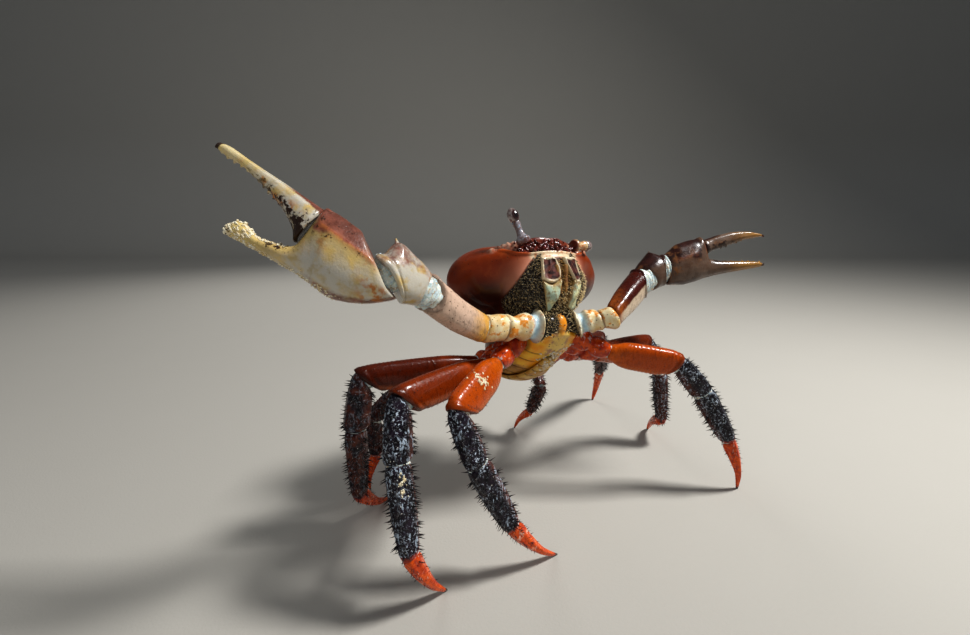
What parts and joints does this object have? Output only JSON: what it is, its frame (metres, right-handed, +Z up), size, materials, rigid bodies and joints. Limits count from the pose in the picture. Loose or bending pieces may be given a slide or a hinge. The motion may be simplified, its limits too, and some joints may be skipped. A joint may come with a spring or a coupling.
{
  "type": "land crab",
  "caption": "Land crab standing on its walking legs with both claws raised: a still, life-size model with a solid for each plate and limb piece.",
  "frame": {"origin": "on the floor, under the middle of the crab's bounding box", "axes": "+X towards the crab's left claw, -Y the way it faces, +Z up"},
  "size_m": [0.3144, 0.1642, 0.2129],
  "materials": {
    "shell_chestnut": "glossy brown shell",
    "belly_ochre": "yellow-brown shell",
    "mouth_olive": "speckled shell",
    "eye_stalk_grey": "wet skin",
    "eye_dark": "wet, very glossy",
    "claw_ivory": "glossy cream shell",
    "claw_brown": "glossy brown shell",
    "leg_orange": "glossy orange shell",
    "leg_black": "wet black shell",
    "toe_red": "glossy red-orange shell"
  },
  "bodies": {
    "root": {"abdomen": "belly_ochre", "carapace": "shell_chestnut", "claw_left_base": "claw_ivory", "claw_left_carpus": "claw_brown", "claw_left_finger": "claw_brown", "claw_left_merus": "claw_brown", "claw_left_palm": "claw_brown", "claw_right_base": "claw_ivory", "claw_right_carpus": "claw_ivory", "claw_right_finger": "claw_ivory", "claw_right_merus": "claw_ivory", "claw_right_palm": "claw_ivory", "eye_left": "eye_dark", "eye_right": "eye_dark", "eyestalk_left": "eye_stalk_grey", "eyestalk_right": "eye_stalk_grey", "leg_left_2_base": "toe_red", "leg_left_2_carpus": "leg_black", "leg_left_2_dactyl": "toe_red", "leg_left_2_merus": "leg_orange", "leg_left_2_propodus": "leg_black", "leg_left_3_base": "toe_red", "leg_left_3_carpus": "leg_black", "leg_left_3_dactyl": "toe_red", "leg_left_3_merus": "leg_orange", "leg_left_3_propodus": "leg_black", "leg_left_4_base": "toe_red", "leg_left_4_carpus": "leg_black", "leg_left_4_dactyl": "toe_red", "leg_left_4_merus": "leg_orange", "leg_left_4_propodus": "leg_black", "leg_left_5_base": "toe_red", "leg_left_5_carpus": "leg_black", "leg_left_5_dactyl": "toe_red", "leg_left_5_merus": "leg_orange", "leg_left_5_propodus": "leg_black", "leg_right_2_base": "toe_red", "leg_right_2_carpus": "leg_black", "leg_right_2_dactyl": "toe_red", "leg_right_2_merus": "leg_orange", "leg_right_2_propodus": "leg_black", "leg_right_3_base": "toe_red", "leg_right_3_carpus": "leg_black", "leg_right_3_dactyl": "toe_red", "leg_right_3_merus": "leg_orange", "leg_right_3_propodus": "leg_black", "leg_right_4_base": "toe_red", "leg_right_4_carpus": "leg_black", "leg_right_4_dactyl": "toe_red", "leg_right_4_merus": "leg_orange", "leg_right_4_propodus": "leg_black", "leg_right_5_base": "toe_red", "leg_right_5_carpus": "leg_black", "leg_right_5_dactyl": "toe_red", "leg_right_5_merus": "leg_orange", "leg_right_5_propodus": "leg_black", "mouth_plate_left": "mouth_olive", "mouth_plate_right": "mouth_olive", "thorax": "belly_ochre"}
  },
  "joints": []
}
